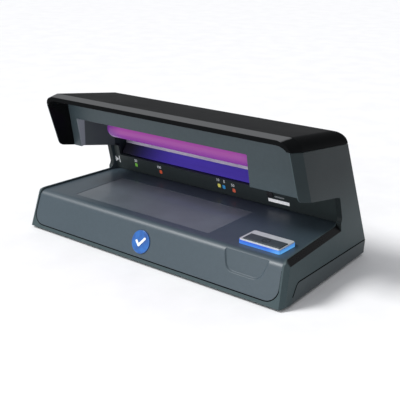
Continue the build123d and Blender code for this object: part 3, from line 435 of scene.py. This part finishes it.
def printFinish(name, ink, glow=0.0):
    # screen-printed ink: slightly uneven, with pinholes
    finish = Finish(name)
    at = finish.place()
    speck = finish.noise(at, 3000.0, 2.0)
    patch = finish.noise(at, 700.0, 3.0)
    thin = tuple(channel * 0.82 for channel in ink[:3]) + (1.0,)
    finish.give("Base Color", finish.mix(finish.ramp(speck, 0.35, 0.65), thin, ink))
    finish.give("Roughness", 0.45 + patch * 0.15)
    # painted light: with glow given, the ink emits light of its own colour though it is no lamp
    if glow:
        finish.give("Emission Color", finish.mix(finish.ramp(patch, 0.3, 0.7), thin, ink))
        finish.shader.inputs["Emission Strength"].default_value = glow
    finish.bump(speck, 0.1, 0.02 * mm)
    return finish.material


badgeLook = {"blue": colour(24, 96, 172), "deep": colour(16, 72, 140), "rim": colour(150, 186, 214)}


def badgeFinish():
    look = badgeLook
    finish = Finish("badgeBlue", **{"Coat Weight": 0.5, "Coat Roughness": 0.1})
    at = finish.place()
    cloud = finish.noise(at, 260.0, 4.0)
    edge, soft = finish.edges(0.35 * mm)
    base = finish.mix(finish.ramp(cloud, 0.3, 0.7), look["blue"], look["deep"])
    finish.give("Base Color", finish.mix(edge * 0.35, base, look["rim"]))
    finish.give("Roughness", 0.28 + cloud * 0.1)
    finish.bump(cloud, 0.05, 0.05 * mm, soft)
    return finish.material


def opalFinish():
    finish = Finish("opalSheet", **{"Coat Weight": 0.2})
    at = finish.place()
    cloud = finish.noise(at, 30.0, 4.0)
    frost = finish.noise(at, 1800.0, 2.0)
    finish.give("Base Color", finish.mix(finish.ramp(cloud, 0.3, 0.7), colour(84, 92, 97), colour(94, 103, 109)))
    finish.give("Roughness", 0.34 + frost * 0.12)
    finish.bump(frost, 0.08, 0.03 * mm)
    return finish.material


def boardFinish():
    # green mask over copper tracks
    finish = Finish("circuitBoard", **{"Coat Weight": 0.3})
    at = finish.place()
    cells = finish.node("TexBrick", {"offset": 0.5, "squash": 1.0},
                        {"Vector": at, "Scale": 160.0, "Mortar Size": 0.03, "Mortar Smooth": 0.1,
                         "Color1": colour(20, 86, 48), "Color2": colour(18, 78, 44),
                         "Mortar": colour(52, 132, 74)}, "Color")
    fine = finish.noise(at, 900.0, 3.0)
    spots = {"Vector": at, "Scale": 240.0, "Randomness": 0.5}
    dots = finish.node("TexVoronoi", {"feature": "F1"}, spots, "Distance")
    pads = finish.ramp(dots, 0.22, 0.16)
    finish.give("Base Color", finish.mix(pads * 0.8, cells, colour(196, 190, 170)))
    finish.give("Metallic", pads * 0.7)
    finish.give("Roughness", 0.34 + fine * 0.18)
    finish.bump(fine + pads * 0.5, 0.15, 0.05 * mm)
    return finish.material


def ledFinish():
    finish = Finish("ledBody", **{"Coat Weight": 0.5})
    at = finish.place()
    fine = finish.noise(at, 1200.0, 2.0)
    base = finish.mix(finish.ramp(fine, 0.3, 0.7), colour(236, 226, 150), colour(246, 240, 196))
    finish.give("Base Color", base)
    finish.give("Roughness", 0.3 + fine * 0.15)
    finish.bump(fine, 0.1, 0.03 * mm)
    return finish.material


def glassFinish():
    finish = Finish("fuseGlass", **{"IOR": 1.45})
    at = finish.place()
    x, _, _ = finish.axes(at)
    fine = finish.noise(at, 700.0, 3.0)
    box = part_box("fuse")
    cap = finish.ramp(x, box[0].x + 3.2 * mm, box[0].x + 3.0 * mm)
    cap = cap + finish.ramp(x, box[1].x - 3.2 * mm, box[1].x - 3.0 * mm)
    finish.give("Base Color", finish.mix(cap, colour(196, 206, 206), colour(206, 206, 208)))
    finish.give("Metallic", cap * 0.9)
    finish.give("Roughness", 0.12 + fine * 0.12 + cap * 0.1)
    finish.give("Alpha", 0.45 + cap * 0.55)
    finish.bump(fine, 0.05, 0.03 * mm)
    return finish.material


def chokeFinish():
    # dark core with a copper winding wrapped in tape
    finish = Finish("chokeWinding")
    at = finish.place()
    _, y, _ = finish.axes(at)
    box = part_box("ballast_choke")
    middle = (box[0].y + box[1].y) / 2
    away = finish.node("Math", {"operation": "ABSOLUTE"}, {0: y - middle})
    coil = finish.ramp(away, 7.1 * mm, 7.3 * mm)
    turns = finish.node("TexWave", {"wave_type": "BANDS", "bands_direction": "Y"},
                        {"Vector": at, "Scale": 900.0, "Distortion": 0.4}, 1)
    fine = finish.noise(at, 500.0, 4.0)
    copper = finish.mix(turns, colour(96, 44, 20), colour(186, 106, 58))
    core = finish.mix(finish.ramp(fine, 0.3, 0.7), colour(38, 36, 36), colour(54, 52, 52))
    finish.give("Base Color", finish.mix(coil, core, copper))
    finish.give("Metallic", coil * 0.7)
    finish.give("Roughness", 0.62 - coil * 0.25)
    finish.bump(fine + turns * coil, 0.3, 0.1 * mm)
    return finish.material


def sleeveFinish():
    finish = Finish("capacitorSleeve", **{"Coat Weight": 0.3})
    at = finish.place()
    x, _, z = finish.axes(at)
    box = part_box("filter_capacitor")
    fine = finish.noise(at, 600.0, 3.0)
    top = finish.ramp(z, box[1].z - 0.5 * mm, box[1].z - 0.2 * mm)
    stripe = finish.ramp(x, box[0].x + 2.2 * mm, box[0].x + 1.9 * mm)
    base = finish.mix(stripe, colour(24, 32, 66), colour(170, 176, 190))
    finish.give("Base Color", finish.mix(top, base, colour(180, 182, 186)))
    finish.give("Metallic", top * 0.9)
    finish.give("Roughness", 0.3 + fine * 0.14)
    finish.bump(fine, 0.1, 0.04 * mm)
    return finish.material


def wireFinish(name, shade):
    finish = Finish(name)
    at = finish.place()
    fine = finish.noise(at, 800.0, 3.0)
    duller = tuple(channel * 0.7 for channel in shade[:3]) + (1.0,)
    finish.give("Base Color", finish.mix(finish.ramp(fine, 0.3, 0.7), shade, duller))
    finish.give("Roughness", 0.4 + fine * 0.2)
    finish.bump(fine, 0.12, 0.04 * mm)
    return finish.material


def rubberFinish():
    finish = Finish("footRubber", **{"Specular IOR Level": 0.3})
    at = finish.place()
    fine = finish.noise(at, 1400.0, 4.0, 0.7)
    scuff = finish.noise(at, 160.0, 4.0)
    finish.give("Base Color", finish.mix(finish.ramp(scuff, 0.4, 0.7), colour(26, 26, 27), colour(52, 51, 50)))
    finish.give("Roughness", 0.72 + fine * 0.16)
    finish.bump(fine, 0.3, 0.06 * mm)
    return finish.material


def lensFinish():
    # dark window over the sensor, with a faint violet coating
    finish = Finish("sensorWindow", **{"Coat Weight": 0.8, "Coat Roughness": 0.04})
    at = finish.place()
    cloud = finish.noise(at, 300.0, 3.0)
    edge, soft = finish.edges(0.2 * mm)
    base = finish.mix(finish.ramp(cloud, 0.3, 0.7), colour(10, 9, 14), colour(18, 14, 26))
    # painted highlight: the window's rounded edge is lightened
    finish.give("Base Color", finish.mix(edge * 0.5, base, colour(58, 60, 66)))
    finish.give("Roughness", 0.12 + cloud * 0.08)
    finish.bump(cloud, 0.04, 0.03 * mm, soft)
    return finish.material


dress(housingFinish(), "main_housing")
dress(trayFinish(), "bottom_tray")
dress(deckFinish(), "deck_panel")
dress(plateFinish(), "lamp_bezel")
dress(coverFinish(), "top_cover")
dress(smoothMoulded("buttonSlate", colour(60, 68, 72), 0.34, 1.3), "power_button")
dress(lensFinish(), "sensor_lens")
dress(plainMoulded("guidePlastic", guideLook["shade"], guideLook["worn"], guideLook["roughness"]), "guide_strip")
dress(coveFinish(), "cove_plate")
dress(lampFinish(), "uv_lamp")
dress(reflectorFinish(), "reflector")
dress(ringFinish(), "button_light_ring")
silverTrim = brushedMetal("silverTrim", colour(204, 208, 211), colour(190, 194, 198), 0.34, metallic=0.25)
dress(silverTrim, "button_frame")
dress(printFinish("iconInk", colour(14, 15, 18)), "button_icon")
dress(printFinish("markInk", colour(238, 242, 246)), "badge_mark")
# painted light: the strip's white tiles glow faintly
dress(printFinish("tileInk", colour(240, 242, 244), 0.35), "strip_label")
dress(badgeFinish(), "badge_disc")
dress(opalFinish(), "backlight_diffuser")
dress(boardFinish(), "backlight_board", "control_board", "ballast_board")
dress(ledFinish(), "backlight_leds")
dress(plainMoulded("lampCap", colour(196, 196, 190), colour(216, 216, 210), 0.5), "lamp_base")
dress(plainMoulded("socketWhite", colour(214, 213, 205), colour(228, 227, 220), 0.46), "lamp_socket")
dress(brushedMetal("brassPin", colour(214, 180, 104), colour(186, 150, 82), 0.28), "lamp_pins", "dc_inlet_pin")
dress(plainMoulded("partBlack", colour(28, 28, 30), colour(54, 55, 57), 0.5),
      "dc_inlet", "push_switch", "switch_plunger", "ballast_transistors")
dress(brushedMetal("zincSteel", colour(188, 190, 196), colour(160, 164, 176), 0.34), "case_screws", "board_screws",
      "switch_spring")
dress(rubberFinish(), "rubber_feet")
dress(wireFinish("lampLead", colour(204, 204, 198)), "lamp_wires")
dress(wireFinish("supplyLead", colour(150, 26, 22)), "supply_wires")
dress(chokeFinish(), "ballast_choke")
dress(sleeveFinish(), "filter_capacitor")
dress(glassFinish(), "fuse")
print("CAD nodes dressed")


def pieceFrom(name, mesh, material, body="housing"):
    piece = bpy.data.objects.new(name, mesh)
    bpy.context.scene.collection.objects.link(piece)
    piece.data.materials.append(material)
    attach(piece, body)
    return piece


# printed position guide on the strip across the column
guideLow = Vector((0, 21.9, 27.6)) * mm
guideUp = Vector((0, -2.5, 10.6)).normalized()
guideOut = Vector((1, 0, 0)).cross(guideUp)
guideLooks = {
    "numerals": [("20", -71.4, 36.2), ("100", -49.5, 35.6), ("10", 2.4, 36.9), ("5", 7.6, 36.6),
                 ("50", 14.4, 35.4)],
    "numeralHeight": 1.9,
    "squares": [("Green", -71.6, 33.1, colour(120, 196, 72)), ("RedLeft", -48.4, 32.3, colour(226, 92, 56)),
                ("Yellow", 3.0, 33.0, colour(232, 226, 110)), ("Blue", 6.9, 32.7, colour(54, 150, 214)),
                ("RedRight", 15.0, 32.0, colour(222, 104, 76))],
    "squareSize": (2.3, 2.6),
    "thickness": 0.06,
    "white": colour(226, 230, 232),
}


def onGuide(x, z):
    # a matrix that lies on the strip at that x and height, facing the front
    up = (z * mm - guideLow.z) / guideUp.z
    spot = guideLow + guideUp * up + Vector((x * mm, 0, 0)) + guideOut * 0.01 * mm
    turn = Matrix((Vector((1, 0, 0)), guideUp, guideOut)).transposed().to_4x4()
    return Matrix.Translation(spot) @ turn


def plateMesh(name, points, thickness, place, soften=0.0):
    # flat printed shape with a little thickness and softened corners
    shape = bmesh.new()
    corners = [shape.verts.new((x * mm, y * mm, 0)) for x, y in points]
    shape.faces.new(corners)
    if soften:
        bmesh.ops.bevel(shape, geom=list(shape.verts), offset=soften * mm, segments=3, affect="VERTICES")
    raised = bmesh.ops.extrude_face_region(shape, geom=list(shape.faces))
    top = [item for item in raised["geom"] if isinstance(item, bmesh.types.BMVert)]
    bmesh.ops.translate(shape, verts=top, vec=(0, 0, thickness * mm))
    bmesh.ops.recalc_face_normals(shape, faces=list(shape.faces))
    mesh = bpy.data.meshes.new(name)
    shape.to_mesh(mesh)
    shape.free()
    mesh.transform(place)
    return mesh


def textMesh(name, words, height, thickness, place):
    curve = bpy.data.curves.new(name, "FONT")
    curve.body = words
    curve.size = height * mm / 0.72
    curve.align_x = "CENTER"
    curve.align_y = "CENTER"
    curve.extrude = thickness * mm / 2
    curve.offset = 0.04 * mm
    curve.resolution_u = 4
    holder = bpy.data.objects.new(name, curve)
    bpy.context.scene.collection.objects.link(holder)
    bpy.context.view_layer.update()
    mesh = bpy.data.meshes.new_from_object(holder.evaluated_get(bpy.context.evaluated_depsgraph_get()))
    bpy.data.objects.remove(holder)
    mesh.name = name
    mesh.transform(place)
    return mesh


def guidePrints():
    look = guideLooks
    # painted light: the white prints and the coloured squares glow faintly
    white = printFinish("guideWhite", look["white"], 0.12)
    for number, (words, x, z) in enumerate(look["numerals"]):
        name = "guideNumeral%d" % number
        pieceFrom(name, textMesh(name, words, look["numeralHeight"], look["thickness"], onGuide(x, z)),
                  white)
    wide, high = look["squareSize"]
    block = [(-wide / 2, -high / 2), (wide / 2, -high / 2), (wide / 2, high / 2), (-wide / 2, high / 2)]
    for label, x, z, ink in look["squares"]:
        name = "guideSquare" + label
        pieceFrom(name, plateMesh(name, block, look["thickness"], onGuide(x, z), 0.3),
                  printFinish(name + "Ink", ink, 0.18))
    arrow = [(-1.7, -2.2), (1.6, 0.0), (-1.7, 2.2)]
    pieceFrom("guideArrow", plateMesh("guideArrow", arrow, look["thickness"], onGuide(-90.2, 34.4)), white)
    bar = [(-0.35, -2.6), (0.35, -2.6), (0.35, 2.6), (-0.35, 2.6)]
    barMesh = plateMesh("guideBar", bar, look["thickness"], onGuide(-87.8, 34.6))
    pieceFrom("guideBar", barMesh, white)
    tag = [(-3.6, -0.45), (3.6, -0.45), (3.6, 0.45), (-3.6, 0.45)]
    pieceFrom("guideTag", plateMesh("guideTag", tag, look["thickness"], onGuide(50.4, 34.9), 0.2),
              printFinish("tagInk", colour(150, 156, 158)))


guidePrints()
print("guide strip printed")

# painted shadow: thin black beads laid where the mouldings meet, standing in for the shade in the gaps
seamLook = {
    "radius": 0.4,
    "sink": 0.14,
    "shade": colour(6, 8, 9),
    "panelTop": 20.5,
    "panelLow": 2.33,
    "panelInset": 3.52,
    "panelRadius": 8.0,
}


def halfAt(y, z):
    return 103.0 - 0.0847 * (y + 51.0) - 0.0494 * z


def rounded(points, radii, steps=6):
    # polyline with arcs at its corners
    path = [points[0]]
    for before, corner, after, radius in zip(points, points[1:], points[2:], radii):
        if not radius:
            path.append(corner)
            continue
        back, ahead = (before - corner).normalized(), (after - corner).normalized()
        half = back.angle(ahead) / 2
        reach = radius / math.tan(half)
        start, end = corner + back * reach, corner + ahead * reach
        centre = corner + (back + ahead).normalized() * (radius / math.sin(half))
        first, last = start - centre, end - centre
        turn = first.angle(last)
        for step in range(steps + 1):
            share = step / steps
            swept = first * math.sin((1 - share) * turn) + last * math.sin(share * turn)
            path.append(centre + swept / math.sin(turn))
    path.append(points[-1])
    return path


def beadMesh(name, path, radius):
    curve = bpy.data.curves.new(name, "CURVE")
    curve.dimensions = "3D"
    curve.bevel_depth = radius * mm
    curve.bevel_resolution = 2
    curve.use_fill_caps = True
    spline = curve.splines.new("POLY")
    spline.points.add(len(path) - 1)
    for point, spot in zip(spline.points, path):
        point.co = (spot.x * mm, spot.y * mm, spot.z * mm, 1)
    holder = bpy.data.objects.new(name, curve)
    bpy.context.scene.collection.objects.link(holder)
    bpy.context.view_layer.update()
    mesh = bpy.data.meshes.new_from_object(holder.evaluated_get(bpy.context.evaluated_depsgraph_get()))
    bpy.data.objects.remove(holder)
    mesh.name = name
    return mesh


def seamLines():
    look = seamLook
    shade = smoothMoulded("seamShadow", look["shade"], 0.7, 1.1)
    depth = look["sink"]
    for side, label in ((-1, "Left"), (1, "Right")):
        corners = [(-39.6, 5.0), (-34.2, 11.6), (50.3, 9.5)]
        points = [Vector((side * (halfAt(y, z) - depth), y, z)) for y, z in corners]
        name = "traySeam" + label
        pieceFrom(name, beadMesh(name, rounded(points, [5.0]), look["radius"]), shade)
    # round the front panel: up its left end, under it and up its right end
    rise = Vector((0, 7.7, 23.6)).normalized()
    start = Vector((0, -51.1, 1.5)) + Vector((0, rise.z, -rise.y)) * depth
    corners = []
    top, low = look["panelTop"], look["panelLow"]
    for side, height in ((-1, top), (-1, low), (1, low), (1, top)):
        spot = start + rise * height
        corners.append(spot + Vector((side * (halfAt(spot.y, spot.z) - look["panelInset"]), 0, 0)))
    path = rounded(corners, [look["panelRadius"]] * 2)
    pieceFrom("panelSeam", beadMesh("panelSeam", path, look["radius"] * 0.9), shade)


seamLines()
print("seam lines laid")


# floor, light and camera
studioLook = {
    "floor": colour(248, 248, 249),
    "world": 0.5,
    "sun": 2.75,
    "sunFrom": (-0.62, -0.62, 0.95),
    "sunSpread": 22.0,
    "front": 2.2,
}


def areaLight(name, spot, aim, size, power, tint=(1.0, 1.0, 1.0)):
    data = bpy.data.lights.new(name, "AREA")
    data.shape = "RECTANGLE"
    data.size, data.size_y = size
    data.energy = power
    data.color = tint
    lamp = bpy.data.objects.new(name, data)
    bpy.context.scene.collection.objects.link(lamp)
    lamp.location = spot
    lamp.rotation_euler = (Vector(aim) - Vector(spot)).to_track_quat("-Z", "Y").to_euler()
    return lamp


def studio():
    look = studioLook
    mesh = bpy.data.meshes.new("floorSheet")
    mesh.from_pydata([(-4, -4, 0), (4, -4, 0), (4, 4, 0), (-4, 4, 0)], [], [(0, 1, 2, 3)])
    floor = bpy.data.objects.new("floorSheet", mesh)
    bpy.context.scene.collection.objects.link(floor)
    finish = Finish("paleFloor", **{"Specular IOR Level": 0.3})
    grain = finish.noise(finish.place(), 30.0, 4.0)
    finish.give("Base Color", finish.mix(finish.ramp(grain, 0.3, 0.7), look["floor"], colour(243, 243, 244)))
    finish.give("Roughness", 0.55 + grain * 0.1)
    floor.data.materials.append(finish.material)
    world = bpy.data.worlds.new("studioAir")
    bpy.context.scene.world = world
    world.use_nodes = True
    back = world.node_tree.nodes["Background"]
    back.inputs["Color"].default_value = (0.96, 0.97, 1.0, 1.0)
    back.inputs["Strength"].default_value = look["world"]
    data = bpy.data.lights.new("sunLight", "SUN")
    data.energy = look["sun"]
    data.angle = math.radians(look["sunSpread"])
    sun = bpy.data.objects.new("sunLight", data)
    bpy.context.scene.collection.objects.link(sun)
    sun.rotation_euler = (-Vector(look["sunFrom"])).to_track_quat("-Z", "Y").to_euler()
    areaLight("frontLight", (-0.1, -0.9, 0.25), (0, 0, 0.03), (0.8, 0.4), look["front"])


def camera():
    data = bpy.data.cameras.new("viewCamera")
    data.lens = 73.87
    data.sensor_width = 36.0
    data.clip_start = 0.01
    eye = bpy.data.objects.new("viewCamera", data)
    bpy.context.scene.collection.objects.link(eye)
    eye.location = (0.3200, -0.3742, 0.1914)
    eye.rotation_euler = Vector((-0.612, 0.725, -0.3155)).to_track_quat("-Z", "Y").to_euler()
    bpy.context.scene.camera = eye


studio()
camera()
bpy.context.scene.view_settings.view_transform = "Standard"
bpy.context.scene.view_settings.look = "None"
print("studio and camera ready")
